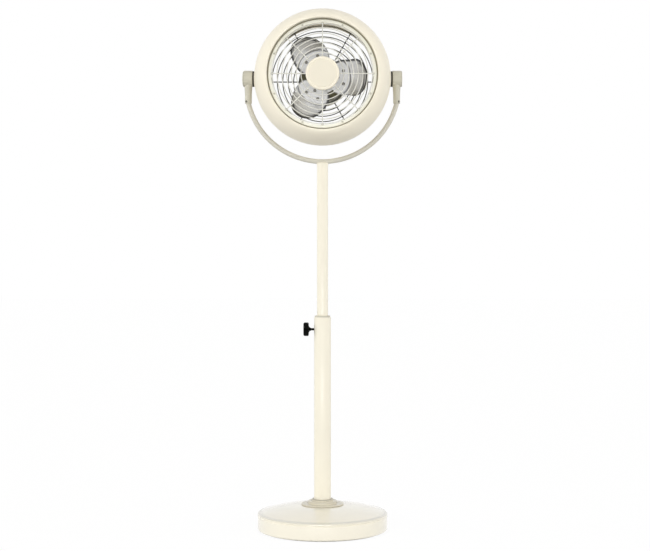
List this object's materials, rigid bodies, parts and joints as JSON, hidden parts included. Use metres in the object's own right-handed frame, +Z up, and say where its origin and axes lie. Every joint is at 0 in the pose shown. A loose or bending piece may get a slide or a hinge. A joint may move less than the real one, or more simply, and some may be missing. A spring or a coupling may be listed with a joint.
{
  "type": "pedestal air circulator fan",
  "caption": "Round pedestal air circulator: ringed fan head with wire grilles tilting in a bent-tube yoke on a telescopic pole with a lock knob and a heavy domed base.",
  "frame": {"origin": "on the floor under the centre of the round base, with the pole fully raised and the head level", "axes": "+Z up along the pole, -Y the way the fan blows, +X to the right when facing the fan"},
  "size_m": [0.3595, 0.292, 1.1667],
  "materials": {
    "cream_paint": "smooth semi-gloss powder coat",
    "cream_shell": "glossy moulded ring",
    "grey_cream": "satin paint on castings and tube",
    "wire": "light coated wire",
    "dark_wire": "dark coated wire",
    "blade_metal": "pressed and polished sheet",
    "steel": "zinc plated",
    "black_plastic": "black moulding",
    "rubber": "moulded rubber",
    "iron": "dull casting",
    "motor_paint": "olive motor enamel",
    "copper": "varnished windings",
    "bronze": "sintered bearing",
    "nylon": "natural nylon"
  },
  "bodies": {
    "stand": {"foot_ring": "rubber", "base_plate": "iron", "base_weight": "iron", "base_cover": "cream_paint", "pole_bolt": "steel", "pole_washer": "steel", "pole_foot_plug": "steel", "pole_collar": "cream_paint", "lower_tube": "cream_paint", "lock_insert": "steel", "guide_bush": "grey_cream"},
    "lock_screw": {"lock_stud": "steel"},
    "lock_grip": {"lock_knob": "black_plastic"},
    "mast_slide": {"slide_guide": "nylon"},
    "mast": {"upper_tube": "cream_paint", "yoke_tube": "grey_cream", "pivot_housing_left": "grey_cream", "pivot_housing_right": "grey_cream", "pivot_cap_left": "grey_cream", "pivot_cap_right": "grey_cream", "set_screw_left": "steel", "set_screw_right": "steel"},
    "head": {"friction_washer_left": "rubber", "friction_washer_right": "rubber", "pivot_bolt_left": "steel", "pivot_bolt_right": "steel", "pivot_plate_left": "steel", "pivot_plate_right": "steel", "pivot_nut_left": "steel", "pivot_nut_right": "steel", "front_bezel": "cream_shell", "rear_housing": "cream_shell", "grille_frame": "cream_paint", "front_grille": "wire", "hub_badge": "cream_shell", "badge_screw": "steel", "rear_grille": "dark_wire", "motor_front_cover": "motor_paint", "motor_rear_bracket": "motor_paint", "stator_core": "iron", "winding_front": "copper", "winding_rear": "copper", "bearing_front": "bronze", "bearing_rear": "bronze", "rear_cover": "cream_shell", "speed_switch": "black_plastic", "run_capacitor": "black_plastic", "cord_gland": "black_plastic"},
    "rotor": {"blade_1": "blade_metal", "blade_2": "blade_metal", "blade_3": "blade_metal", "blade_spider": "blade_metal", "blade_nut": "steel", "motor_shaft": "steel", "rotor_core": "iron"},
    "speed_dial": {"switch_shaft": "steel", "speed_knob": "black_plastic"}
  },
  "joints": [
    {"name": "mast_height", "type": "slide", "parent": "stand", "child": "mast_slide", "axis": [0, 0, 1], "range_m": [-0.33, 0]},
    {"name": "mast_turn", "type": "hinge", "parent": "mast_slide", "child": "mast", "pos_m": [0, 0, 0.6], "axis": [0, 0, 1], "range_deg": [-180, 180]},
    {"name": "head_tilt", "type": "hinge", "parent": "mast", "child": "head", "pos_m": [0, 0, 1.0143], "axis": [1, 0, 0], "range_deg": [-90, 90]},
    {"name": "rotor_spin", "type": "hinge", "parent": "head", "child": "rotor", "pos_m": [0, -0.026, 1.0143], "axis": [0, 1, 0], "continuous": true},
    {"name": "speed_turn", "type": "hinge", "parent": "head", "child": "speed_dial", "pos_m": [0, 0.09, 1.0143], "axis": [0, 1, 0], "range_deg": [0, 135]},
    {"name": "lock_travel", "type": "slide", "parent": "stand", "child": "lock_screw", "axis": [-1, 0, 0], "range_m": [0, 0.001]},
    {"name": "lock_turn", "type": "hinge", "parent": "lock_screw", "child": "lock_grip", "pos_m": [-0.037, 0, 0.451], "axis": [-1, 0, 0], "range_deg": [0, 360]}
  ],
  "couplings": [
    {"joint": "lock_travel", "follows": "lock_turn", "m_per_rad": 0.00015915}
  ]
}
